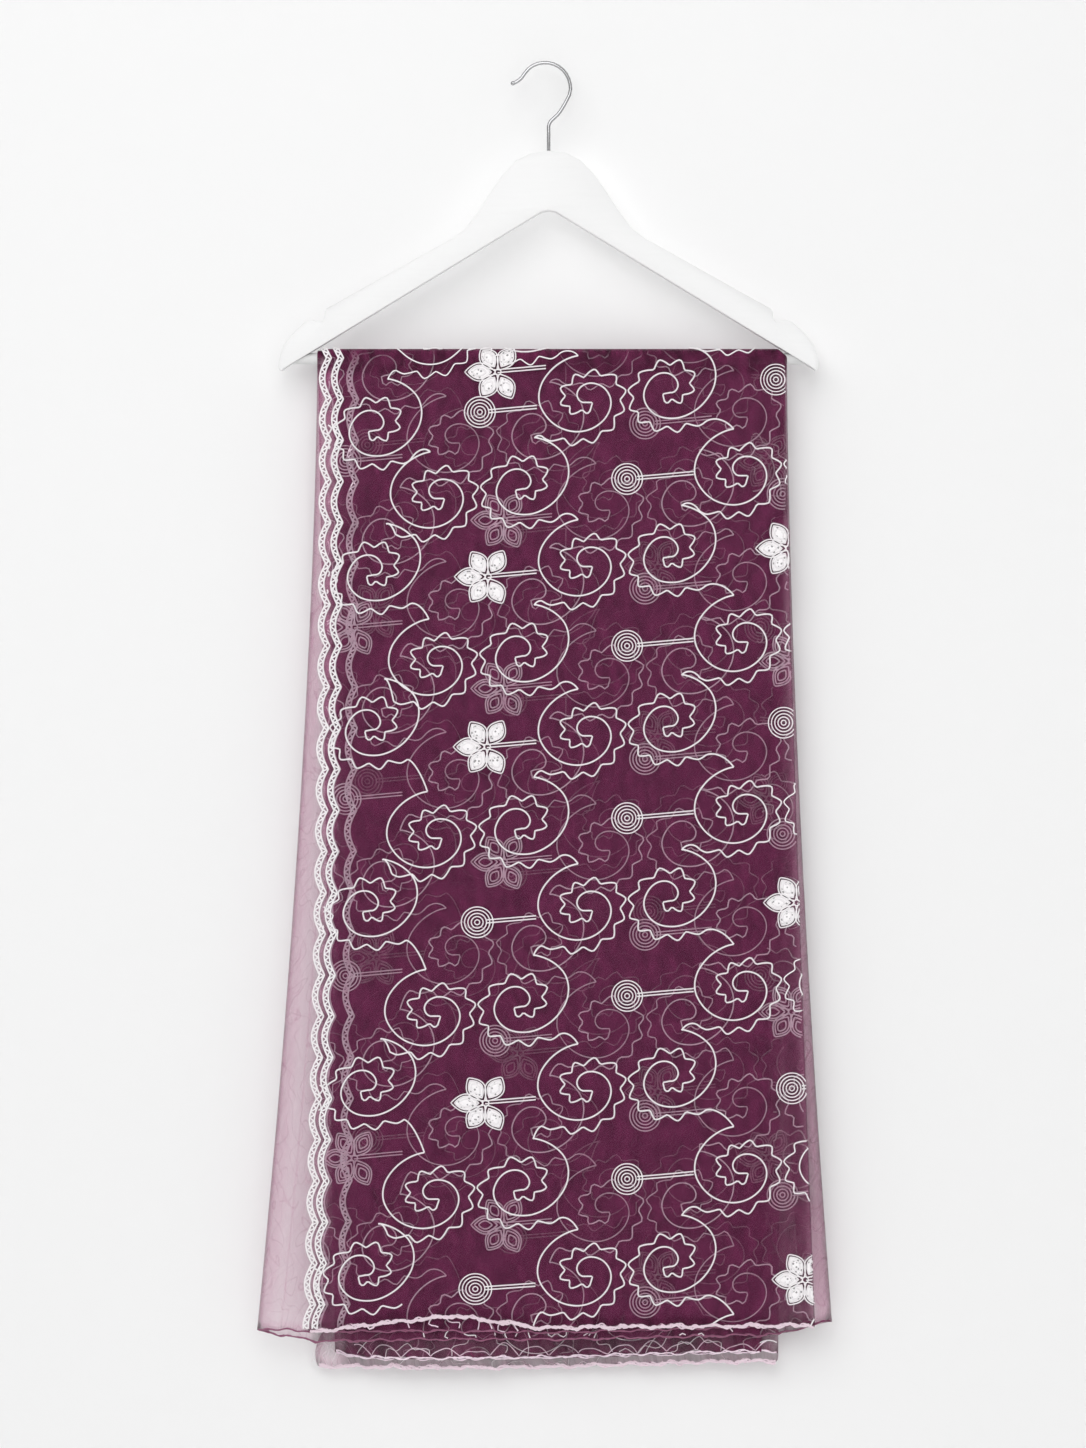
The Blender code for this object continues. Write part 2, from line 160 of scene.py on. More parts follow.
# The column beside the front tapes, left of this x, sags by this much at these drops
EDGE_COLUMN_LIMIT = -0.17
EDGE_COLUMN_SAG = ((0.04, 0.17, 0.31, 0.45, 0.75), (0.019, 0.003, -0.010, -0.005, -0.007))

# Scrolls come in pairs that meet on the column's axis. Both are given from that meeting point, as the
# left one lies: centre, square inner end, outer tip, then (degrees clockwise from the right, reach) of
# the smooth line and of the toothed line's middle, and the degrees of the teeth's tips.
LEFT_SCROLL = {
    "centre": (-0.035, 0.005),
    "inner_end": ((-0.0308, 0.0177), (-0.0285, 0.0101)),
    "tip": (-0.0405, -0.0285),
    "smooth": ((60, 0.0046), (88, 0.0051), (179, 0.0062), (278, 0.0104), (311, 0.0138), (339, 0.0178),
               (370, 0.0220), (399, 0.0243), (423, 0.0260), (469, 0.0308), (512, 0.0358), (534, 0.0379),
               (552, 0.0374), (572, 0.0356), (594, 0.0343), (621, 0.0340), (640, 0.0340)),
    "toothed": ((60, 0.0130), (72, 0.0132), (115, 0.0150), (155, 0.0181), (190, 0.0187), (233, 0.0170),
                (258, 0.0176), (285, 0.0203), (308, 0.0242), (335, 0.0300), (358, 0.0320), (390, 0.0322),
                (405, 0.0331), (433, 0.0357), (459, 0.0388), (476, 0.0415), (490, 0.0447), (505, 0.0500)),
    "teeth": (74, 129, 162, 199, 245, 290, 326, 352, 380, 409, 440, 465, 488),
}
RIGHT_SCROLL = {
    "centre": (-0.036, -0.003),
    "inner_end": ((-0.0310, 0.0095), (-0.0295, 0.0032)),
    "tip": (-0.0450, -0.0400),
    "smooth": ((60, 0.0046), (88, 0.0050), (179, 0.0060), (250, 0.0085), (282, 0.0112), (320, 0.0152),
               (354, 0.0194), (380, 0.0236), (419, 0.0263), (454, 0.0264), (496, 0.0284), (523, 0.0322),
               (545, 0.0368), (558, 0.0391), (573, 0.0406), (588, 0.0402), (617, 0.0386), (640, 0.0380)),
    "toothed": ((60, 0.0130), (68, 0.0131), (112, 0.0132), (135, 0.0140), (160, 0.0163), (183, 0.0180),
                (202, 0.0198), (238, 0.0207), (280, 0.0205), (306, 0.0218), (328, 0.0240), (345, 0.0276),
                (359, 0.0312), (372, 0.0338), (395, 0.0366), (424, 0.0366), (451, 0.0356), (478, 0.0363),
                (493, 0.0385), (505, 0.0400)),
    "teeth": (70, 122, 171, 209, 250, 293, 337, 365, 389, 408, 431, 459, 486),
}
TOOTH_HEIGHT = 0.0027
# Degrees where the toothed line leaves the spiral, and where its teeth have faded out
TOOTHED_END, TEETH_GONE = 494, 512
# The toothed line leaves for the next scroll's tip only where that is no further than this
LONGEST_LINK = 0.034

# Flowers and discs. A flower's eye lies to the right of the lattice point by the shift
FLOWER_RADIUS = 0.0250
FLOWER_EYE = 0.0020
FIRST_PETAL_STRETCH = 1.1
PETAL_ANGLES = (180, 236, 300, 62, 124)
PETAL_WIDTH = 0.0150
PETAL_MIDDLE = 0.56
PETAL_LINES = (1.0, 0.75, 0.45)
PETAL_FILL, PETAL_CROWN = 0.80, 0.0004
FLOWER_SHIFT = 0.0075
DISC_RADIUS = 0.0127
RINGS = 5
STEM_GAP = 0.0025

# How far each kind of cord's middle lies off its layer, and the step between its points
FLOWER_LIFT, DISC_LIFT, TAPE_LIFT = 0.0011, 0.0009, 0.0010
FACE_LIFT, INNER_LIFT = 0.0006, 0.0003
FACE_STEP, INNER_STEP, MEDALLION_STEP = 0.0018, 0.003, 0.0016
# Radius of the cords without a setting of their own, and the scroll cord's share of its setting, by layer
FLOWER_CORD, STEM_CORD = 0.00058, 0.0006
INNER_DISC_CORD, INNER_FLOWER_CORD, INNER_STEM_CORD = 0.00055, 0.00062, 0.0005
SCROLL_SHARE = (0.8, 0.9, 1.0)
INNER_HEM_SHARE = 0.8

# Hem strands: length of one twist, step, and how far they stray on the face and inside
HEM_TWIST = 0.0115
HEM_STEP = 0.0014
HEM_STRAY, INNER_HEM_STRAY = 0.0009, 0.0004

# Scalloped tapes, with a zigzag between two edge cords
TAPE_WIDTH = 0.0055
TAPE_START = -0.011
TAPE_END = {FRONT: 0.802, BACK: 0.834}
ZIGZAG_LENGTH = 0.0052
ZIGZAG_THICKNESS = 1.15
SCALLOP_LENGTH = 0.034
SCALLOP_DEPTH = 0.0055

# A last flower under the bar, cut short by it
TOP_FLOWER = (-0.0493, 0.0116)

# Floor, and the picture's height and middle at the front of the cloth
FLOOR_Z = -1.6
FLOOR_REACH = 20
FRAME_HEIGHT = 1.1975
FRAME_X, FRAME_Z = -0.0017, -0.5466
CLOTH_FRONT_Y = -0.008


def colour_setting(name, description, default):
    return bpy.props.FloatVectorProperty(name=name, description=description, default=default,
                                         subtype="COLOR", size=3, min=0.0, max=1.0)


def share_setting(name, description, default):
    return bpy.props.FloatProperty(name=name, description=description, default=default,
                                   subtype="FACTOR", min=0.0, max=1.0)


def length_setting(name, description, default, least=0.0002):
    return bpy.props.FloatProperty(name=name, description=description, default=default,
                                   unit="LENGTH", subtype="DISTANCE", min=least)


def power_setting(name, description, default):
    return bpy.props.FloatProperty(name=name, description=description, default=default,
                                   subtype="POWER", min=0.0)


class StoleCloth(bpy.types.PropertyGroup):
    """The net and its thread."""
    net_colour: colour_setting("Net colour", "Colour of the net's yarn", (0.100, 0.0148, 0.0495))
    # Lighter pink than the net's yarn: painted light, standing in for the light that comes through the thin
    # margins from behind
    margin_colour_with_painted_light: colour_setting(
        "Margin colour", "Colour of the thin yarn in the plain margins", (0.48, 0.10, 0.27))
    net_opacity: share_setting("Net opacity", "How much the face layer of the sewn net hides", 0.42)
    inner_net_opacity: share_setting(
        "Inner net opacity", "How much each layer inside the fold hides", 0.56)
    margin_opacity: share_setting("Margin opacity", "How much one layer of the plain margin hides", 0.12)
    thread_colour: colour_setting("Thread colour", "Colour of the embroidery cord", (0.98, 0.95, 0.965))
    # Pink tint on the white cord inside the fold: painted light, standing in for the plum net's tint on the
    # light that reaches it
    inner_thread_painted_tint: colour_setting(
        "Inner thread colour", "Cord on the layers inside the fold, tinted by the net", (1.0, 0.84, 0.94))
    hem_colour: colour_setting(
        "Hem colour", "Colour of the rolled hem, net wrapped in thread", (0.88, 0.72, 0.80))
    inner_hem_colour: colour_setting(
        "Inner hem colour", "Colour of the thin hems inside the fold", (0.30, 0.11, 0.19))
    cord_radius: length_setting("Cord radius", "Half the thickness of the scroll cord", 0.00072)
    tape_cord_radius: length_setting(
        "Tape cord radius", "Half the thickness of the cord along each tape edge", 0.00075)
    ring_radius: length_setting(
        "Ring cord radius", "Half the thickness of the cord in the ring discs", 0.00055)
    hem_radius: length_setting("Hem strand radius", "Half the thickness of one strand of the hem", 0.00075)


class StoleHanger(bpy.types.PropertyGroup):
    """The hanger."""
    paint_colour: colour_setting("Paint colour", "White paint on the wood", (0.85, 0.85, 0.85))
    # The plated wire's tone, darkened as a painted reflection of dark surroundings
    wire_colour_with_painted_reflection: colour_setting("Wire colour", "Plated wire of the hook", (0.48, 0.48, 0.49))


class StoleStage(bpy.types.PropertyGroup):
    """The wall, floor, lights and camera."""
    wall_colour: colour_setting(
        "Wall colour", "Pale wall behind the hanger, and the floor", (0.88, 0.88, 0.88))
    wall_gap: length_setting("Wall distance", "From the hook to the wall", 0.027, 0.02)
    key_power: power_setting("Key power", "Power of the large light above left", 51.5)
    fill_power: power_setting("Fill power", "Power of the front light, half that of the one behind", 20.5)
    sky: share_setting("Sky", "Strength of the even light from all round", 0.45)
    camera_distance: length_setting("Camera distance", "From the lens to the cloth", 4.0, 0.5)


def smoothstep(value):
    value = np.clip(value, 0.0, 1.0)
    return value * value * (3 - 2 * value)


def layer_pitch(t):
    """Distance between neighbouring layers, t from 0 at the bar to 1 at the hem."""
    return PITCH_TOP + (PITCH_HEM - PITCH_TOP) * smoothstep(t)


def edge_x(edge, side, t):
    top, front_shift, back_shift, front_power, back_power = edge
    shift, power = (front_shift, front_power) if side == FRONT else (back_shift, back_power)
    t = np.clip(t, 0.0, 1.0)
    drawn_in = BACK_DRAWN_IN * smoothstep(t / 0.12) if edge is FACE_LEFT and side == BACK else 0.0
    return top + shift * t ** power + drawn_in


def crest_inset(bend):
    """How far the right edge draws in over the bar, to clear the arm."""
    return CREST_INSET * np.cos(bend) ** 2


def hem_drop(side, layer, x):
    rows = HEMS[(side, layer)]
    ripple = 0.0007 * np.sin(x * 190 + layer * 2.0) + 0.0005 * np.sin(x * 411 + side)
    return np.interp(x, [row[0] for row in rows], [row[1] for row in rows]) + ripple


def hanging_wave(x, t):
    """Soft folds shared by a whole stack, growing towards the hem."""
    large = np.sin(2 * math.pi * x / WAVE_LENGTH + 0.6)
    small = np.sin(2 * math.pi * x / SMALL_WAVE_LENGTH + 2.1)
    return WAVE_DEPTH * np.clip(t, 0.0, 1.0) ** 1.2 * (0.7 * large + 0.3 * small)


def crease_depth(side, x, drop):
    """Soft troughs and ridges, each fading out at both ends."""
    total = np.zeros_like(x)
    for centre, start, length, depth, width in FRONT_CREASES if side == FRONT else BACK_CREASES:
        along = np.clip((drop - start) / length, 0.0, 1.0)
        fade = smoothstep((along + 0.05) * 5) * smoothstep((1 - along) * 2)
        drift = centre + 0.012 * np.sin(drop * 9 + centre * 40)
        total += depth * fade * np.exp(-((x - drift) / width) ** 2)
    return total


def wrinkle(side, layer, x, t):
    """Small ripple of one layer, always less than the space to the next."""
    phase = layer * 2.4 + side
    ripple = np.sin(x * 71 + t * 5 + phase) * np.sin(t * 13 + x * 17 + phase * 2)
    return 0.28 * layer_pitch(t) * ripple * smoothstep(t * 4)


def cloth_points(side, layer, x, drop, lift=0.0):
    """Points in space for cloth coordinates: x across, drop down from the bar (below 0 over the bar)."""
    x = np.asarray(x, float)
    drop = np.asarray(drop, float)
    hem = hem_drop(side, layer, x)
    t = np.clip(drop / hem, 0.0, 1.0)
    pitch = layer_pitch(t)
    radius = FIRST_RADIUS + layer * pitch + lift + wrinkle(side, layer, x, t)
    bend = np.clip(math.pi / 2 + np.minimum(drop, 0.0) / radius, 0.0, math.pi / 2)
    depth = radius * np.sin(bend) + hanging_wave(x, t) + crease_depth(side, x, drop) * np.sin(bend)
    height = BAR_Z + radius * np.cos(bend) - np.maximum(drop, 0.0)
    return np.stack([HANGER_X + x, side * depth, height], axis=-1)


def add_object(name, data):
    piece = bpy.data.objects.new(name, data)
    bpy.context.scene.collection.objects.link(piece)
    return piece


def mesh_object(name, points, faces, surface):
    mesh = bpy.data.meshes.new(name)
    mesh.from_pydata(np.asarray(points, float).tolist(), [], [list(map(int, face)) for face in faces])
    mesh.materials.append(surface)
    mesh.shade_smooth()
    return add_object(name, mesh)


def finish_piece(piece, nodes=()):
    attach(piece, "root")
    if nodes:
        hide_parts(*nodes)


def nodes_named(prefix):
    return sorted(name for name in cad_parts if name.startswith(prefix))


# Materials

def feed(node, inputs):
    """Gives each input its value, or links it to the socket given. Colours have three numbers."""
    for name, value in inputs.items():
        entry = node.inputs[name]
        if isinstance(value, bpy.types.NodeSocket):
            node.id_data.links.new(value, entry)
        elif entry.type == "RGBA":
            entry.default_value = (*value, 1.0)
        else:
            entry.default_value = value


def add_node(tree, kind, inputs=None, **values):
    node = tree.nodes.new(kind)
    for name, value in values.items():
        setattr(node, name, value)
    feed(node, inputs or {})
    return node


def new_material(name):
    surface = bpy.data.materials.new(name)
    surface.use_nodes = True
    return surface, surface.node_tree, surface.node_tree.nodes["Principled BSDF"]


def scaled(colour, amount):
    return [channel * amount for channel in colour]


def noise(tree, coordinates, scale, detail=2.0, stretch=None):
    """Noise texture on the given coordinates, with an optional stretch per axis."""
    if stretch:
        mapping = add_node(tree, "ShaderNodeMapping", {"Vector": coordinates, "Scale": stretch})
        coordinates = mapping.outputs["Vector"]
    return add_node(tree, "ShaderNodeTexNoise", {
        "Vector": coordinates, "Scale": scale, "Detail": detail}).outputs["Fac"]


def object_coordinates(tree):
    return add_node(tree, "ShaderNodeTexCoord").outputs["Object"]


def map_range(tree, value, low, high, new_low, new_high):
    return add_node(tree, "ShaderNodeMapRange", {
        "Value": value, "From Min": low, "From Max": high, "To Min": new_low,
        "To Max": new_high}).outputs["Result"]


def mix_colours(tree, share, first, second):
    return add_node(tree, "ShaderNodeMix", {"Factor": share, "A": first, "B": second},
                    data_type="RGBA").outputs["Result"]


def bump(tree, height, strength, distance):
    return add_node(tree, "ShaderNodeBump", {
        "Height": height, "Strength": strength, "Distance": distance}).outputs["Normal"]


def combine(tree, operation, first, second, **options):
    """Math node on two sockets, or on a socket and a number."""
    return add_node(tree, "ShaderNodeMath", {0: first, 1: second}, operation=operation,
                    **options).outputs["Value"]


def net_material(settings):
    """Sheer net, opaque by its yarn_share, with an uneven weave and thin crinkles that hide more."""
    surface, tree, shader = new_material("plum_net")
    uv = add_node(tree, "ShaderNodeUVMap", uv_map="cloth").outputs["UV"]
    slub = noise(tree, uv, 260.0, 3.0, (1.0, 0.16, 1.0))
    cloud = noise(tree, uv, 120.0, 4.0, (1.0, 0.4, 1.0))
    contour = noise(tree, uv, 26.0, 2.0, (1.0, 0.45, 1.0))
    yarn = add_node(tree, "ShaderNodeAttribute", attribute_name="yarn_share").outputs["Fac"]
    field = mix_colours(tree, map_range(tree, cloud, 0.3, 0.7, 0.0, 1.0),
                        scaled(settings.net_colour, 0.5), scaled(settings.net_colour, 1.75))
    # The thin margins take the lighter pink: painted light, for the light that comes through them from
    # behind
    tone = mix_colours(tree, map_range(tree, yarn, 0.25, 0.45, 0.0, 1.0), settings.margin_colour_with_painted_light, field)
    woven = combine(tree, "MULTIPLY", yarn, map_range(tree, slub, 0.3, 0.7, 0.84, 1.16))
    crinkle = map_range(tree, combine(tree, "PINGPONG", contour, 0.05), 0.0, 0.005, 0.14, 0.0)
    feed(shader, {"Roughness": 0.72, "Specular IOR Level": 0.1, "Sheen Weight": 0.04, "Base Color": tone,
                  "Alpha": combine(tree, "ADD", crinkle, woven, use_clamp=True)})
    return surface


def cord_material(name, tint, twist_scale=900.0):
    """Matt twisted cord: fine twist as bump, slight change of tone."""
    surface, tree, shader = new_material(name)
    place = object_coordinates(tree)
    twist = noise(tree, place, twist_scale, 1.0, (1.0, 1.0, 0.6))
    feed(shader, {"Roughness": 0.6, "Specular IOR Level": 0.35, "Sheen Weight": 0.15,
                  "Base Color": mix_colours(tree, noise(tree, place, 260.0), scaled(tint, 0.86), tint),
                  "Normal": bump(tree, twist, 0.5, 0.0004)})
    return surface


def petal_material(tint):
    """Dense satin stitch with small openings, painted as darker grey dots: the net behind them with painted
    shade in the gaps.
    """
    surface, tree, shader = new_material("petal_stitch")
    place = object_coordinates(tree)
    cells = add_node(tree, "ShaderNodeTexVoronoi", {"Vector": place, "Scale": 330.0})
    rows = add_node(tree, "ShaderNodeTexWave", {"Vector": place, "Scale": 420.0, "Distortion": 3.0})
    # Darker grey dots in the openings: painted shade
    opening_shade = map_range(tree, cells.outputs["Distance"], 0.22, 0.36, 0.0, 1.0)
    feed(shader, {"Roughness": 0.55, "Base Color": mix_colours(tree, opening_shade, scaled(tint, 0.30), tint),
                  "Normal": bump(tree, rows.outputs["Fac"], 0.5, 0.0003)})
    return surface


def paint_material(tint):
    """Satin white paint over wood, with a faint grain."""
    surface, tree, shader = new_material("white_paint")
    grain = noise(tree, object_coordinates(tree), 60.0, 4.0, (0.5, 6.0, 6.0))
    feed(shader, {"Specular IOR Level": 0.45, "Roughness": map_range(tree, grain, 0.3, 0.7, 0.32, 0.46),
                  "Base Color": mix_colours(tree, grain, scaled(tint, 0.965), tint),
                  "Normal": bump(tree, grain, 0.12, 0.0004)})
    return surface


def wire_material(tint):
    """Plated wire with fine drawing marks; its colour is darkened as a painted reflection of dark
    surroundings.
    """
    surface, tree, shader = new_material("plated_wire")
    marks = noise(tree, object_coordinates(tree), 300.0)
    feed(shader, {"Metallic": 1.0, "Roughness": map_range(tree, marks, 0.3, 0.7, 0.12, 0.24),
                  "Base Color": mix_colours(tree, marks, scaled(tint, 0.8), tint)})
    return surface


# Threads from paths, by geometry nodes

def thread_tree():
    """Turns paths of edges into round threads."""
    tree = bpy.data.node_groups.get("thread_along_path")
    if tree:
        return tree
    tree = bpy.data.node_groups.new("thread_along_path", "GeometryNodeTree")
    for word, kind in (("Paths", "Geometry"), ("Thread Radius", "Float"), ("Thread Sides", "Int"),
                       ("Thread Material", "Material")):
        tree.interface.new_socket(word, in_out="INPUT", socket_type="NodeSocket" + kind)
    tree.interface.new_socket("Threads", in_out="OUTPUT", socket_type="NodeSocketGeometry")
    given = add_node(tree, "NodeGroupInput").outputs
    curve = add_node(tree, "GeometryNodeMeshToCurve", {"Mesh": given["Paths"]})
    profile = add_node(tree, "GeometryNodeCurvePrimitiveCircle", {
        "Radius": given["Thread Radius"], "Resolution": given["Thread Sides"]})
    sweep = add_node(tree, "GeometryNodeCurveToMesh", {
        "Curve": curve.outputs["Curve"], "Profile Curve": profile.outputs["Curve"], "Fill Caps": True})
    smooth = add_node(tree, "GeometryNodeSetShadeSmooth", {"Geometry": sweep.outputs["Mesh"]})
    realize = add_node(tree, "GeometryNodeRealizeInstances", {"Geometry": smooth.outputs["Geometry"]})
    paint = add_node(tree, "GeometryNodeSetMaterial", {
        "Geometry": realize.outputs["Geometry"], "Material": given["Thread Material"]})
    add_node(tree, "NodeGroupOutput", {"Threads": paint.outputs["Geometry"]})
    return tree


def run_tree(piece, tree, values):
    """Runs a geometry tree on the piece and keeps its result as a plain mesh."""
    modifier = piece.modifiers.new(tree.name, "NODES")
    modifier.node_group = tree
    for item in tree.interface.items_tree:
        if item.in_out == "INPUT" and item.name in values:
            modifier[item.identifier] = values[item.name]
    bpy.context.view_layer.update()
    graph = bpy.context.evaluated_depsgraph_get()
    result = bpy.data.meshes.new_from_object(piece.evaluated_get(graph))
    piece.modifiers.remove(modifier)
    piece.data = result
    return piece


def threads(name, paths, radius, sides, surface):
    """One piece of round threads along the given paths in space."""
    points, edges = [], []
    for path in paths:
        first = len(points)
        points.extend(path.tolist())
        edges.extend((first + i, first + i + 1) for i in range(len(path) - 1))
    mesh = bpy.data.meshes.new(name)
    mesh.from_pydata(points, edges, [])
    return run_tree(add_object(name, mesh), thread_tree(), {
        "Thread Radius": radius, "Thread Sides": sides, "Thread Material": surface})


# Pattern on the cloth, as (x, drop) lines

def even_spacing(x, drop, step):
    """The same line with points an even step apart."""
    length = np.concatenate([[0.0], np.cumsum(np.hypot(np.diff(x), np.diff(drop)))])
    count = max(2, int(length[-1] / step) + 1)
    places = np.linspace(0.0, length[-1], count)
    return np.interp(places, length, x), np.interp(places, length, drop)


def inside_runs(side, layer, x, drop):
    """Stretches of a line that lie on the layer, folded back past the face's fold."""
    hem = hem_drop(side, layer, x)
    t = np.clip(drop / hem, 0.0, 1.0)
    over = np.minimum(drop, 0.0) / (FIRST_RADIUS + layer * PITCH_TOP)
    left = np.maximum(edge_x(FACE_LEFT, side, t), edge_x(INNER_FOLD, side, t))
    right = edge_x(FACE_FOLD, side, t)
    if layer == 2:
        left, right = edge_x(FACE_LEFT, side, t), right + 0.03
    keep = (x > left + 0.002) & (x < right - 0.001 - crest_inset(math.pi / 2 + over))
    keep &= (drop < hem - 0.001) & (over > -math.pi / 2 + 0.02)
    runs = np.split(np.arange(len(x)), np.flatnonzero(np.diff(keep.astype(int))) + 1)
    return [run for run in runs if keep[run[0]] and len(run) > 2]


def sewn_points(side, layer, x, drop, lift):
    """Points in space on a layer. What runs past the face's fold is carried round it."""
    points = cloth_points(side, layer, x, drop, lift)
    if layer != 2:
        return points
    fold = edge_x(FACE_FOLD, side, drop / PATTERN_LENGTH) - crest_inset(
        math.pi / 2 + np.minimum(drop, 0.0) / FIRST_RADIUS)
    around = cloth_points(side, 1, 2 * fold - x, drop, -lift)
    return np.where((x > fold)[:, None], around, points)


def lay_line(side, layer, x, drop, lift, step):
    """Paths in space of a pattern line sewn on one layer."""
    x, drop = even_spacing(np.asarray(x, float), np.asarray(drop, float), step)
    x = spread(side, layer, x, drop)
    return [sewn_points(side, layer, x[run], drop[run], lift)
            for run in inside_runs(side, layer, x, drop)]


def row_drop(side, phase):
    if side == BACK:
        return ROW_FIRST + BACK_ROW_PITCH * phase
    return ROW_FIRST + ROW_PITCH * phase + ROW_STRETCH * phase * abs(phase)


def scroll_drop(side, axis, place):
    """Drop of a scroll; the column beside the front tapes keeps its own spacing."""
    drop = row_drop(side, place + SCROLL_PHASE)
    if side == FRONT and axis < EDGE_COLUMN_LIMIT:
        drop += float(np.interp(drop, *EDGE_COLUMN_SAG))
    return drop


def smooth_curve(table, places):
    """Rounded curve through the table's points."""
    at = np.array([row[0] for row in table], float)
    value = np.array([row[1] for row in table], float)
    slope = np.gradient(value, at)
    i = np.clip(np.searchsorted(at, places) - 1, 0, len(at) - 2)
    width = at[i + 1] - at[i]
    u = (places - at[i]) / width
    return (value[i] * (2 * u ** 3 - 3 * u ** 2 + 1) + value[i + 1] * (3 * u ** 2 - 2 * u ** 3)
            + width * (slope[i] * (u ** 3 - 2 * u ** 2 + u) + slope[i + 1] * (u ** 3 - u ** 2)))


def around_centre(scroll, degrees, reach):
    turn = np.radians(degrees)
    x, y = scroll["centre"]
    return x + reach * np.cos(turn), y + reach * np.sin(turn)


def smooth_scroll(scroll):
    """Open spiral of the smooth line, from its square inner end to its tip."""
    last = scroll["smooth"][-2][0]
    degrees = np.linspace(88, last, 130)
    x, y = around_centre(scroll, degrees, smooth_curve(scroll["smooth"], degrees))
    ends = scroll["inner_end"]
    x = np.concatenate([[ends[0][0], ends[1][0]], x, [scroll["tip"][0]]])
    y = np.concatenate([[ends[0][1], ends[1][1]], y, [scroll["tip"][1]]])
    return x, y


def toothed_scroll(scroll, target):
    """Toothed line round the smooth one, leaving for the next scroll's tip over a low crest.

    Without a target it ends in a short crest of its own.
    """
    degrees = np.linspace(scroll["toothed"][1][0], TOOTHED_END, 520)
    phase = np.interp(degrees, scroll["teeth"], np.arange(len(scroll["teeth"])))
    teeth = np.arcsin(0.9 * np.cos(2 * math.pi * phase)) / 1.12
    fade = smoothstep((degrees - degrees[0]) / 16) * smoothstep((TEETH_GONE - degrees) / 24)
    reach = smooth_curve(scroll["toothed"], degrees) + TOOTH_HEIGHT * teeth * fade
    x, y = around_centre(scroll, degrees, reach)
    start = np.array([x[-1], y[-1]])
    end = np.array(target if target is not None else start + np.array([-0.014, 0.004]))
    span = np.linalg.norm(end - start)
    if span > LONGEST_LINK:
        return x, y
    lift = np.array([0.0, -min(0.0065, 0.36 * span)])
    over = bezier(start, start + 0.28 * (end - start) + lift, start + 0.72 * (end - start) + lift, end)
    return np.concatenate([x, over[:, 0]]), np.concatenate([y, over[:, 1]])


def bezier(*handles):
    """Rounded line pulled towards the middle handles."""
    u = np.linspace(0.0, 1.0, 24)[:, None]
    rows = [np.asarray(handle, float)[None, :] for handle in handles]
    while len(rows) > 1:
        rows = [(1 - u) * first + u * second for first, second in zip(rows, rows[1:])]
    return rows[0]


def scroll_lines(side, layer):
    """Every scroll of one layer as pattern lines."""
    columns = sorted(LATTICE[(side, layer)])
    lines = []
    for i, (axis, phase, kinds) in enumerate(columns):
        for row in range(-1, len(kinds) + 1):
            place = phase + row
            drop = scroll_drop(side, axis, place)
            for mirror, scroll, other in ((1, LEFT_SCROLL, RIGHT_SCROLL), (-1, RIGHT_SCROLL, LEFT_SCROLL)):
                near = i - mirror
                target = None
                if 0 <= near < len(columns):
                    other_axis, other_phase, _ = columns[near]
                    step = math.ceil(place - other_phase + 0.2)
                    next_drop = scroll_drop(side, other_axis, other_phase + step)
                    tip_x, tip_y = other["tip"]
                    target = (mirror * (other_axis - mirror * tip_x - axis), next_drop + tip_y - drop)
                for x, y in (smooth_scroll(scroll), toothed_scroll(scroll, target)):
                    lines.append((axis + mirror * x, drop + y))
    return lines


def spread(side, layer, x, drop):
    """The sewn columns drift a little to the left on their way down the front."""
    if (side, layer) != (FRONT, 2):
        return x
    amount = 1 - smoothstep((x - DRIFT_LEFT) / DRIFT_WIDTH)
    return x - DRIFT_AT_HEM * np.clip(drop, 0.0, PATTERN_LENGTH) * amount / PATTERN_LENGTH


def stem_lines(centre, drop):
    """Double stem from a medallion to the next scroll on the right."""
    length = 0.055 if centre > 0 else 0.047
    along = np.linspace(0.15, 1.0, 24)
    for offset in (-STEM_GAP / 2, STEM_GAP / 2):
        yield centre + length * along, drop - 0.09 * length * along + offset


def medallions(side, layer, kind):
    """Lattice points of one layer that hold a flower (F) or a disc (D)."""
    for axis, phase, kinds in LATTICE[(side, layer)]:
        for row, found in enumerate(kinds):
            drop = row_drop(side, phase + row)
            centre = axis
            if side == FRONT and layer == 2 and axis > FOLD_COLUMN_LIMIT:
                drop = row_drop(side, phase + FOLD_COLUMN_PHASE + FOLD_COLUMN_ROW * row)
                centre = axis + FOLD_COLUMN_TOP + FOLD_COLUMN_SLOPE * drop / PATTERN_LENGTH
            if found == kind and 0.002 < drop < PATTERN_LENGTH:
                yield centre, drop


def disc_lines(centre, drop):
    """Evenly spaced rings."""
    turn = np.linspace(0.0, 2 * math.pi, 40)
    for ring in range(RINGS):
        reach = DISC_RADIUS * (ring + 0.8) / (RINGS - 0.2)
        yield centre + reach * np.cos(turn), drop + reach * np.sin(turn)


def petal_outline(petal, scale=1.0):
    """Pointed oval petal in flower coordinates, wider beyond its middle."""
    turn = math.radians(PETAL_ANGLES[petal])
    length = FLOWER_RADIUS * (FIRST_PETAL_STRETCH if petal == 0 else 1.0) - FLOWER_EYE
    along = np.concatenate([np.linspace(0, 1, 15), np.linspace(1, 0, 15)[1:]])
    side = np.concatenate([np.ones(15), -np.ones(14)])
    reach = FLOWER_EYE + length * (PETAL_MIDDLE + (along - PETAL_MIDDLE) * scale)
    across = side * PETAL_WIDTH / 2 * scale * np.sin(math.pi * along ** 1.05) ** 0.88
    return (FLOWER_SHIFT + reach * math.cos(turn) - across * math.sin(turn),
            reach * math.sin(turn) + across * math.cos(turn))


def flower_lines(centre, drop):
    """Petal outlines one inside the other, and a small ring in the middle."""
    for petal in range(len(PETAL_ANGLES)):
        for scale in PETAL_LINES:
            x, y = petal_outline(petal, scale)
            yield centre + x, drop + y
    turn = np.linspace(0.0, 2 * math.pi, 16)
    yield centre + FLOWER_SHIFT + 0.0026 * np.cos(turn), drop + 0.0026 * np.sin(turn)


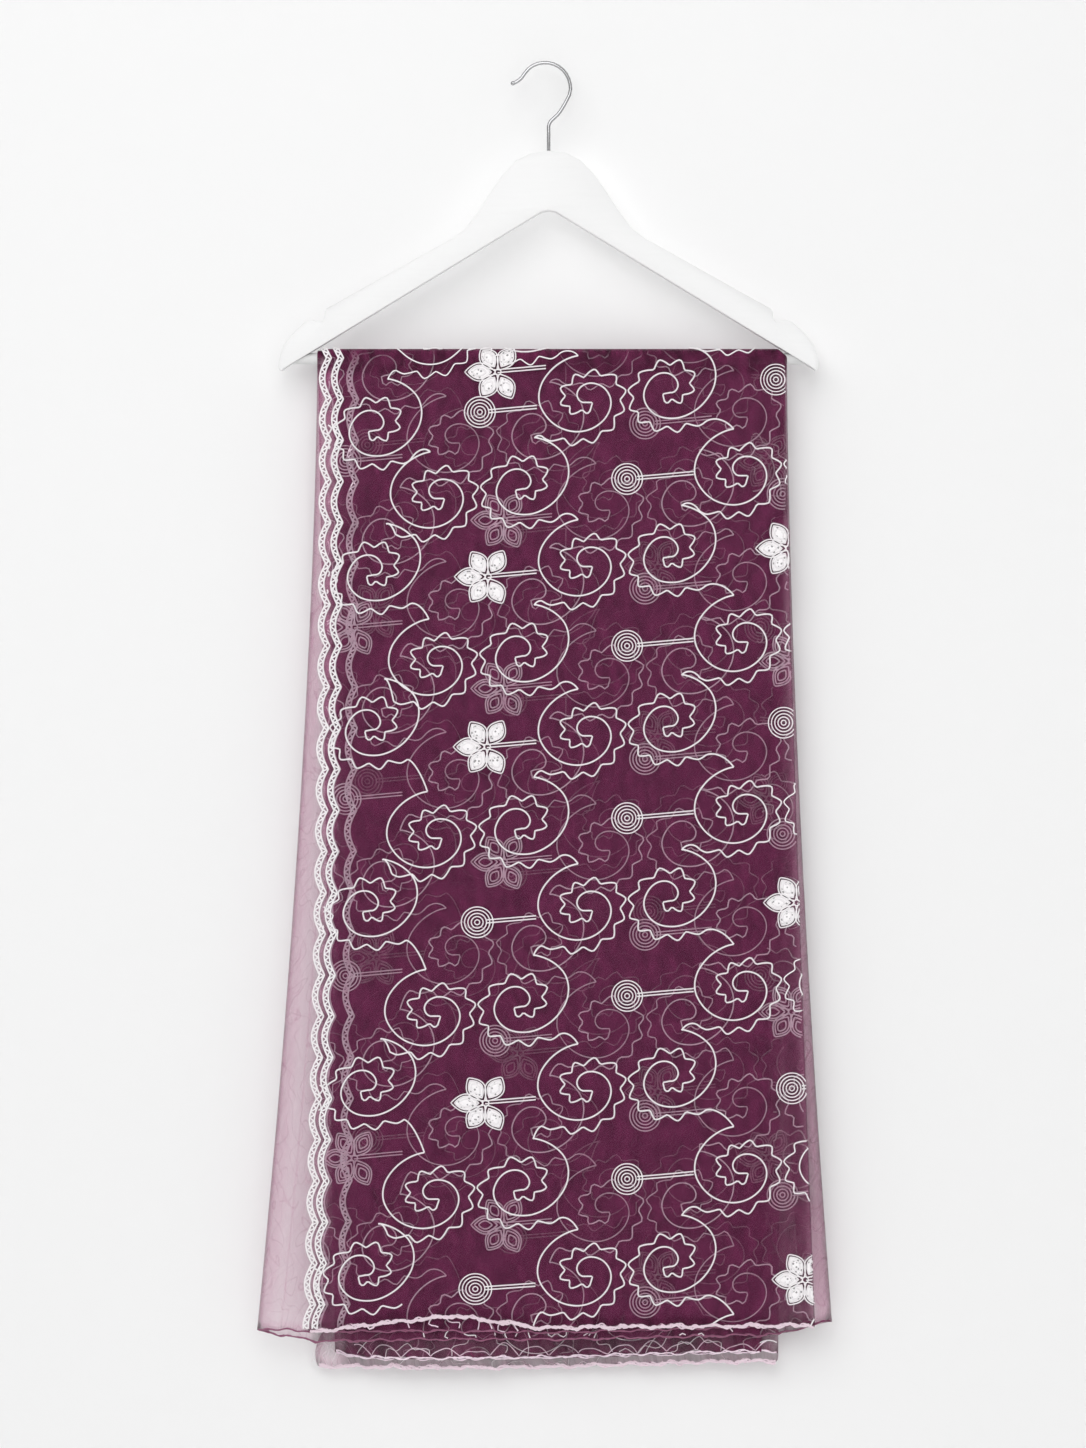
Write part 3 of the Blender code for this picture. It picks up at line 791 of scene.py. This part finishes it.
def petal_fills(side, layer, flowers, lift, surface, name):
    """Crowned plates of dense stitch inside the petals."""
    def on_layer(x, line_drop, height):
        return sewn_points(side, layer, spread(side, layer, x, line_drop), line_drop, height).tolist()

    points, faces = [], []
    rings = (1.0, 0.66, 0.33)
    for (centre, drop), petal in itertools.product(flowers, range(len(PETAL_ANGLES))):
        outline = np.stack(petal_outline(petal, PETAL_FILL), axis=-1)
        middle = outline.mean(axis=0)
        first, count = len(points), len(outline) - 1
        for share in rings:
            ring = middle + (outline[:-1] - middle) * share
            height = lift + PETAL_CROWN * (1 - share ** 2)
            points.extend(on_layer(centre + ring[:, 0], drop + ring[:, 1], height))
        points.extend(on_layer(centre + middle[:1], drop + middle[1:], lift + PETAL_CROWN))
        last, top = first + (len(rings) - 1) * count, first + len(rings) * count
        for j in range(count):
            beside = (j + 1) % count
            faces.extend((start + j, start + beside, start + beside + count, start + j + count)
                         for start in range(first, last, count))
            faces.append((last + j, last + beside, top))
    return mesh_object(name, points, faces, surface)


# Pieces

def cloth_rows():
    """Rows from the front hem over the bar to the back hem: (side, bend, t, distance along the cloth)."""
    rows = []
    for t in np.linspace(1.0, 0.0, 196):
        rows.append((FRONT, math.pi / 2, t, -t * FRONT_LENGTH - HALF_TURN))
    for bend in np.linspace(80, 0, 9):
        rows.append((FRONT, math.radians(bend), 0.0, -HALF_TURN * bend / 90))
    for bend in np.linspace(10, 80, 8):
        rows.append((BACK, math.radians(bend), 0.0, HALF_TURN * bend / 90))
    for t in np.linspace(0.0, 1.0, 202):
        rows.append((BACK, math.pi / 2, t, t * BACK_LENGTH + HALF_TURN))
    return rows


def scallop(drop):
    """Sideways shift of a tape: arcs bulge to the free edge, cusps point into the cloth."""
    return SCALLOP_DEPTH * (0.5 - np.abs(np.sin(math.pi * drop / SCALLOP_LENGTH)))


def half_turn(x, direction, turn, height, layer):
    """Rounded fold between two layers, as three points of a half circle."""
    for i in (1, 2, 3):
        angle = math.pi * i / 4
        yield x + direction * turn * math.sin(angle), height + 0.5 * math.cos(angle), layer, 1.0


def cloth_section(side, bend, t):
    """Across one row: (x, height in layers, layer, edge mark from 0 to 1)."""
    inset = crest_inset(bend)
    left = float(edge_x(FACE_LEFT, side, t)) + (scallop(t * FRONT_LENGTH) if t > 0 else 0.0)
    fold = float(edge_x(FACE_FOLD, side, t)) - inset
    inner = float(edge_x(INNER_FOLD, side, t))
    right = float(edge_x(INNER_RIGHT, side, t)) - inset
    lip = LIP_WIDTH * min(1.0, 0.25 + t * 1.5)
    turn = FOLD_TURN_TOP + FOLD_TURN_GROWTH * t
    section = []
    for u in np.linspace(0, 1, 46):
        section.append((left + (fold - turn - left) * u, 2.0, 2, max(0.0, 1 - u * 90, 1 - (1 - u) * 45)))
    section.extend(half_turn(fold - turn, 1, turn, 1.5, 2))
    for u in np.linspace(0, 1, 33):
        section.append((fold - turn + (inner + OLD_FOLD_STRIP - fold + turn) * u, 1.0, 1,
                        max(0.0, 1 - u * 35)))
    # An old fold line shows as a faint stripe 20 mm inside the inner fold
    for step, mark in ((0.0212, 0.0), (0.0200, 0.45), (0.0188, 0.0), (0.0120, 0.0), (0.0045, 0.0)):
        section.append((inner + step, 1.0, 1, mark))
    section.append((inner + turn, 1.0, 1, 1.0))
    section.extend(half_turn(inner + turn, -1, turn, 0.5, 1))
    for u in np.linspace(0, 1, 36):
        section.append((inner + turn + (right - 2 * turn - inner) * u, 0.0, 0,
                        max(0.0, 1 - u * 35, 1 - (1 - u) * 35)))
    section.append((right, 0.2, 0, 1.0))
    for u in np.linspace(0, 1, 6):
        section.append((right - turn - (lip - turn) * u, 0.4, 0, max(0.0, 1 - u * 5) * 0.8))
    return section


def cloth_density(settings, side, t, x, layers, edges, crowding):
    """How much a row hides: little in the plain margins, more along folds, hems and the bar."""
    left = max(edge_x(FACE_LEFT, side, t), edge_x(INNER_FOLD, side, t)) + 0.004
    right = edge_x(FACE_FOLD, side, t) - 0.001
    inside = smoothstep((x - left) / 0.004) * smoothstep((right - x) / 0.004)
    sewn = np.where(layers == 2, settings.net_opacity, settings.inner_net_opacity)
    base = settings.margin_opacity + (sewn - settings.margin_opacity) * inside + 0.08 * (x > right)
    return np.minimum(0.95, base + (0.30 * edges + 0.45 * crowding) * (1 - base))


def build_net(settings):
    """The whole cloth in one sheet, folded in three and laid over the bar."""
    rows = cloth_rows()
    points, uvs, marks = [], [], []
    for side, bend, t, along in rows:
        x, heights, layers, edges = (np.array(column) for column in zip(*cloth_section(side, bend, t)))
        drop = t * sum(hem_drop(side, layer, x) * np.maximum(0.0, 1 - np.abs(heights - layer))
                       for layer in (0, 1, 2))
        radius = FIRST_RADIUS + heights * layer_pitch(t) + wrinkle(side, np.round(heights), x, t)
        depth = (radius + crease_depth(side, x, drop)) * math.sin(bend) + hanging_wave(x, t)
        height = BAR_Z + radius * math.cos(bend) - drop
        points.extend(np.stack([HANGER_X + x, side * depth, height], axis=-1).tolist())
        across = np.concatenate([[0.0], np.cumsum(np.abs(np.diff(x)) + 0.0004)])
        uvs.extend(zip(across.tolist(), [along] * len(x)))
        near_hem = max(0.0, 1 - (1 - t) * 90) * 0.6
        near_bar = math.cos(bend) + max(0.0, 1 - t * 60) * 0.7
        marks.extend(cloth_density(settings, side, t, x, layers, edges, max(near_hem, near_bar)))
    wide = len(points) // len(rows)
    faces = [(r * wide + c, r * wide + c + 1, (r + 1) * wide + c + 1, (r + 1) * wide + c)
             for r in range(len(rows) - 1) for c in range(wide - 1)]
    net = mesh_object("net_cloth", points, faces, net_material(settings))
    corner = np.array([loop.vertex_index for loop in net.data.loops])
    net.data.uv_layers.new(name="cloth").data.foreach_set("uv", np.array(uvs)[corner].ravel())
    yarn = net.data.attributes.new("yarn_share", "FLOAT", "POINT")
    yarn.data.foreach_set("value", np.array(marks, dtype=np.float32))
    return net


def tape_paths(side, inset, narrowing, lift, layer=2):
    """Two edges of one scalloped tape and the zigzag between them."""
    last = TAPE_END[side]
    drop = np.arange(TAPE_START, last, 0.0011)
    t = np.clip(drop / last, 0.0, 1.0)
    centre = edge_x(FACE_LEFT, side, t) + inset - narrowing * t * t + scallop(drop)
    half = TAPE_WIDTH / 2 - 0.0007
    lines = [(centre - half, drop), (centre + half, drop)]
    weave = np.arcsin(np.sin(2 * math.pi * drop / ZIGZAG_LENGTH)) / (math.pi / 2)
    lines.append((centre + half * 0.9 * weave, drop))
    return [cloth_points(side, layer, x, d, lift) for x, d in lines]


def build_tape(name, side, inset, narrowing, settings, surface, nodes, layer=2):
    """Scalloped lace tape: two edge cords and a zigzag that leaves a row of small openings."""
    paths = tape_paths(side, inset, narrowing, TAPE_LIFT if layer == 2 else INNER_LIFT, layer)
    tape = threads(name, paths[:2], settings.tape_cord_radius, 5, surface)
    middle = threads(name + "_zigzag", paths[2:], settings.tape_cord_radius * ZIGZAG_THICKNESS, 4,
                     surface)
    join(tape, middle)
    finish_piece(tape, nodes)


def join(piece, *others):
    """Adds the other pieces' meshes to the piece."""
    bm = bmesh.new()
    bm.from_mesh(piece.data)
    for other in others:
        for surface in other.data.materials:
            if surface.name not in piece.data.materials:
                piece.data.materials.append(surface)
        shift = [list(piece.data.materials).index(surface) for surface in other.data.materials]
        start = len(bm.faces)
        bm.from_mesh(other.data)
        bm.faces.ensure_lookup_table()
        for face in bm.faces[start:]:
            face.material_index = shift[face.material_index]
        bpy.data.objects.remove(other, do_unlink=True)
    bm.to_mesh(piece.data)
    bm.free()
    piece.data.shade_smooth()


def hem_paths(side, layer, left, right, strands, stray):
    """Crumpled strands twisted together along one layer's hem."""
    x = np.arange(left, right, HEM_STEP)
    paths = []
    for strand in range(strands):
        jitter = np.random.default_rng(10 * layer + strand).normal(0.0, 1.0, (len(x), 2))
        kernel = np.array([0.1, 0.2, 0.4, 0.2, 0.1])
        turn = 2 * math.pi * (x / HEM_TWIST + strand / strands)
        rise = stray * (np.convolve(jitter[:, 0], kernel, "same") * 1.3 + 0.7 * np.sin(turn))
        sway = stray * (np.convolve(jitter[:, 1], kernel, "same") * 0.6 + 0.5 * np.cos(turn))
        points = cloth_points(side, layer, x, hem_drop(side, layer, x) - 0.0006)
        points[:, 2] += rise
        points[:, 1] += sway
        paths.append(points)
    return paths


def arch_line(side, layer, left, right):
    """Low thread arches along a hem."""
    x = np.arange(left, right, 0.0012)
    height = 0.0075 + 0.0035 * np.sin(x * 83 + 1.0) * np.sin(x * 31)
    drop = hem_drop(side, layer, x) - 0.0015 - height * np.abs(np.sin(math.pi * x / 0.0245)) ** 0.8
    return cloth_points(side, layer, x, drop, 0.0004)


class STOLE_OT_net(bpy.types.Operator):
    """Builds the folded net cloth over the bar"""
    bl_idname = "stole.net"
    bl_label = "Net Cloth"

    def execute(self, context):
        settings = context.scene.stole_cloth
        net = build_net(settings)
        finish_piece(net, ["front_face", "front_fold", "back_face", "back_fold"])
        return {"FINISHED"}


class STOLE_OT_tapes(bpy.types.Operator):
    """Builds the scalloped tapes along the free edge, in front and behind"""
    bl_idname = "stole.tapes"
    bl_label = "Scalloped Tapes"

    def execute(self, context):
        settings = context.scene.stole_cloth
        surface = cord_material("tape_thread", settings.thread_colour)
        for word, side in SIDES:
            for place, inset, narrowing in (("outer", 0.0, 0.0), ("inner", 0.0100, 0.0026)):
                build_tape(f"{word}_{place}_tape", side, inset, narrowing, settings, surface,
                           [f"{word}_tape_{place}"])
        # Cord with the painted pink tint of light that comes through the net
        muted = cord_material("inner_tape_thread", settings.inner_thread_painted_tint)
        for place, inset, narrowing in (("outer", 0.0100, 0.0), ("inner", 0.0225, -0.0060)):
            build_tape(f"front_middle_{place}_tape", FRONT, inset, narrowing, settings, muted, [], 1)
        return {"FINISHED"}


class STOLE_OT_hems(bpy.types.Operator):
    """Builds the crumpled rolled hem of every layer"""
    bl_idname = "stole.hems"
    bl_label = "Rolled Hems"

    def execute(self, context):
        settings = context.scene.stole_cloth
        surface = cord_material("hem_thread", settings.hem_colour, 1400.0)
        muted = cord_material("inner_hem_thread", settings.inner_hem_colour, 1400.0)
        # Cord with the painted pink tint of light that comes through the net
        arch = cord_material("arch_thread", settings.inner_thread_painted_tint)
        for word, side in SIDES:
            ends = {edge: float(edge_x(edge, side, 1.0))
                    for edge in (FACE_LEFT, FACE_FOLD, INNER_FOLD, INNER_RIGHT)}
            face = hem_paths(side, 2, ends[FACE_LEFT] + 0.001, ends[FACE_FOLD] - 0.001, 5, HEM_STRAY)
            finish_piece(threads(f"{word}_hem", face, settings.hem_radius, 5, surface),
                         [f"{word}_hem_roll"])
            inner = []
            for layer, right in ((1, FACE_FOLD), (0, INNER_RIGHT)):
                inner += hem_paths(side, layer, ends[INNER_FOLD] + 0.001, ends[right] - 0.001, 2,
                                   INNER_HEM_STRAY)
            finish_piece(threads(f"{word}_inner_hems", inner, settings.hem_radius * INNER_HEM_SHARE, 4,
                                 muted if side == FRONT else arch))
        arches = [arch_line(BACK, 0, ends[INNER_FOLD] + 0.016, ends[FACE_FOLD] - 0.009)]
        finish_piece(threads("back_hem_arches", arches, settings.hem_radius * INNER_HEM_SHARE, 4, arch))
        return {"FINISHED"}


class STOLE_OT_scrolls(bpy.types.Operator):
    """Sews the smooth and toothed scroll lines on every layer"""
    bl_idname = "stole.scrolls"
    bl_label = "Scroll Vines"

    def execute(self, context):
        settings = context.scene.stole_cloth
        bright = cord_material("scroll_thread", settings.thread_colour)
        # Cord with the painted pink tint of light that comes through the net
        muted = cord_material("inner_scroll_thread", settings.inner_thread_painted_tint)
        plans = (("front", FRONT, 2), ("back", BACK, 2), ("front_middle", FRONT, 1),
                 ("front_inner", FRONT, 0), ("back_middle", BACK, 1), ("back_inner", BACK, 0))
        for word, side, layer in plans:
            lift, step, sides = (FACE_LIFT, FACE_STEP, 4) if layer == 2 else (INNER_LIFT, INNER_STEP, 3)
            radius = settings.cord_radius * SCROLL_SHARE[layer]
            paths = []
            for x, drop in scroll_lines(side, layer):
                paths.extend(lay_line(side, layer, x, drop, lift, step))
            finish_piece(threads(f"{word}_scrolls", paths, radius, sides,
                                 muted if layer == 1 else bright))
        return {"FINISHED"}


class STOLE_OT_medallions(bpy.types.Operator):
    """Sews the flowers and ring discs with their stems on every layer"""
    bl_idname = "stole.medallions"
    bl_label = "Flowers and Discs"

    def execute(self, context):
        settings = context.scene.stole_cloth
        cord = cord_material("medallion_thread", settings.thread_colour)
        # Cord with the painted pink tint of light that comes through the net
        muted = cord_material("inner_medallion_thread", settings.inner_thread_painted_tint)
        fill = petal_material(settings.thread_colour)
        for word, side in SIDES:
            flowers = list(medallions(side, 2, "F"))
            if side == FRONT:
                flowers.append(TOP_FLOWER)
            discs = list(medallions(side, 2, "D"))
            self.sew(f"{word}_flowers", side, 2, flowers, flower_lines, FLOWER_CORD, FLOWER_LIFT, cord,
                     nodes_named(f"{word}_flower"), fill)
            self.sew(f"{word}_discs", side, 2, discs, disc_lines, settings.ring_radius, DISC_LIFT, cord,
                     nodes_named(f"{word}_disc"))
            self.sew(f"{word}_stems", side, 2, flowers + discs, stem_lines, STEM_CORD, FACE_LIFT, cord)
            for layer, name, surface in ((1, "middle", muted), (0, "inner", cord)):
                discs = list(medallions(side, layer, "D"))
                flowers = list(medallions(side, layer, "F"))
                for kind, places, lines, radius in (
                        ("discs", discs, disc_lines, INNER_DISC_CORD),
                        ("flowers", flowers, flower_lines, INNER_FLOWER_CORD),
                        ("stems", flowers + discs, stem_lines, INNER_STEM_CORD)):
                    self.sew(f"{word}_{name}_{kind}", side, layer, places, lines, radius, INNER_LIFT,
                             surface)
        return {"FINISHED"}

    def sew(self, name, side, layer, places, lines, radius, lift, surface, nodes=(), fill=None):
        """One piece of cord along the lines of every medallion, with filled petals where asked."""
        paths = []
        for place in places:
            for x, drop in lines(*place):
                paths.extend(lay_line(side, layer, x, drop, lift, MEDALLION_STEP))
        piece = threads(name, paths, radius, 4, surface)
        if fill:
            join(piece, petal_fills(side, layer, places, lift * 0.5, fill, name + "_fill"))
        finish_piece(piece, nodes)


class STOLE_OT_hanger(bpy.types.Operator):
    """Finishes the wooden hanger, its bar and the wire hook"""
    bl_idname = "stole.hanger"
    bl_label = "Hanger"

    def execute(self, context):
        settings = context.scene.stole_hanger
        paint = paint_material(settings.paint_colour)
        wire = wire_material(settings.wire_colour_with_painted_reflection)
        for node, surface, slot, angle in (("hanger_body", paint, "wood", 30),
                                           ("hanger_bar", paint, "wood", 40), ("hook", wire, "wire", 60)):
            finish_piece(self.smooth_copy(node, surface, angle), [node])
        return {"FINISHED"}

    def smooth_copy(self, node, surface, angle):
        """The node's own shape, merged and smoothly shaded."""
        bm = bmesh.new()
        bm.from_mesh(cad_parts[node].data)
        bmesh.ops.remove_doubles(bm, verts=bm.verts, dist=0.00001)
        mesh = bpy.data.meshes.new(node + "_finish")
        bm.to_mesh(mesh)
        bm.free()
        mesh.materials.clear()
        mesh.materials.append(surface)
        for polygon in mesh.polygons:
            polygon.material_index = 0
        mesh.shade_smooth()
        mesh.set_sharp_from_angle(angle=math.radians(angle))
        return add_object(node + "_finish", mesh)


class STOLE_OT_stage(bpy.types.Operator):
    """Sets up the pale wall and floor, the soft light and the camera"""
    bl_idname = "stole.stage"
    bl_label = "Stage"

    def execute(self, context):
        settings = context.scene.stole_stage
        scene = context.scene
        scene.view_settings.view_transform = "Standard"
        scene.cycles.transparent_max_bounces = 24
        self.add_wall(settings)
        self.add_floor(settings)
        self.add_world(scene, settings)
        self.add_lamp("key_light", (-0.7, -2.8, 1.6), (0.0, 0.0, -0.6), 3.0, settings.key_power)
        self.add_lamp("fill_light", (0.3, -3.0, -0.2), (0.0, 0.0, -0.6), 2.4, settings.fill_power)
        self.add_lamp("back_light", (0.6, 2.4, 0.6), (0.0, 0.0, -0.5), 1.6, 2.0 * settings.fill_power)
        self.add_camera(scene, settings)
        return {"FINISHED"}

    def add_wall(self, settings):
        """Wall seen from the front only, so that the back of the stole can be looked at."""
        surface, tree, shader = new_material("wall_paint")
        feed(shader, {"Roughness": 0.9, "Specular IOR Level": 0.1, "Base Color": settings.wall_colour})
        clear = add_node(tree, "ShaderNodeBsdfTransparent")
        facing = add_node(tree, "ShaderNodeNewGeometry")
        choose = add_node(tree, "ShaderNodeMixShader", {
            "Fac": facing.outputs["Backfacing"], 1: shader.outputs["BSDF"], 2: clear.outputs["BSDF"]})
        feed(tree.nodes["Material Output"], {"Surface": choose.outputs["Shader"]})
        y = settings.wall_gap
        corners = [(-4, y, FLOOR_Z), (4, y, FLOOR_Z), (4, y, 3), (-4, y, 3)]
        wall = mesh_object("wall", corners, [(0, 1, 2, 3)], surface)
        wall.visible_shadow = False

    def add_floor(self, settings):
        surface, _, shader = new_material("floor_paint")
        feed(shader, {"Roughness": 0.85, "Base Color": settings.wall_colour})
        corners = [(x * FLOOR_REACH, y * FLOOR_REACH, FLOOR_Z)
                   for x, y in ((-1, -1), (1, -1), (1, 1), (-1, 1))]
        mesh_object("floor", corners, [(0, 1, 2, 3)], surface)

    def add_world(self, scene, settings):
        world = bpy.data.worlds.new("even_light")
        world.use_nodes = True
        feed(world.node_tree.nodes["Background"], {"Color": (1.0, 1.0, 1.0), "Strength": settings.sky})
        scene.world = world

    def add_lamp(self, name, place, aim, size, power):
        data = bpy.data.lights.new(name, "AREA")
        data.shape = "DISK"
        data.size = size
        data.energy = power
        lamp = add_object(name, data)
        lamp.location = place
        lamp.rotation_euler = (Vector(aim) - Vector(place)).to_track_quat("-Z", "Y").to_euler()

    def add_camera(self, scene, settings):
        """Straight on with a long lens."""
        data = bpy.data.cameras.new("camera")
        data.sensor_width = 36.0
        data.lens = data.sensor_width * settings.camera_distance / FRAME_HEIGHT
        camera = add_object("camera", data)
        camera.location = (FRAME_X, CLOTH_FRONT_Y - settings.camera_distance, FRAME_Z)
        camera.rotation_euler = (math.radians(90), 0.0, 0.0)
        scene.camera = camera


class STOLE_PT_panel(bpy.types.Panel):
    """Lists the stole's steps in the sidebar"""
    bl_idname = "STOLE_PT_panel"
    bl_label = "Dupatta Stole"
    bl_space_type = "VIEW_3D"
    bl_region_type = "UI"
    bl_category = "Stole"

    def draw(self, context):
        for settings in (context.scene.stole_cloth, context.scene.stole_hanger, context.scene.stole_stage):
            for name in settings.__annotations__:
                self.layout.prop(settings, name)
        for step in STEPS:
            self.layout.operator(step.bl_idname)


SETTINGS = {"stole_cloth": StoleCloth, "stole_hanger": StoleHanger, "stole_stage": StoleStage}
STEPS = (STOLE_OT_stage, STOLE_OT_hanger, STOLE_OT_net, STOLE_OT_tapes, STOLE_OT_hems,
         STOLE_OT_scrolls, STOLE_OT_medallions)


def register():
    for name, group in SETTINGS.items():
        bpy.utils.register_class(group)
        setattr(bpy.types.Scene, name, bpy.props.PointerProperty(type=group))
    for step in STEPS:
        bpy.utils.register_class(step)
    bpy.utils.register_class(STOLE_PT_panel)


def unregister():
    bpy.utils.unregister_class(STOLE_PT_panel)
    for step in reversed(STEPS):
        bpy.utils.unregister_class(step)
    for name, group in SETTINGS.items():
        delattr(bpy.types.Scene, name)
        bpy.utils.unregister_class(group)


def main():
    register()
    for step in STEPS:
        group, name = step.bl_idname.split(".")
        getattr(getattr(bpy.ops, group), name)()


if __name__ == "__main__":
    main()
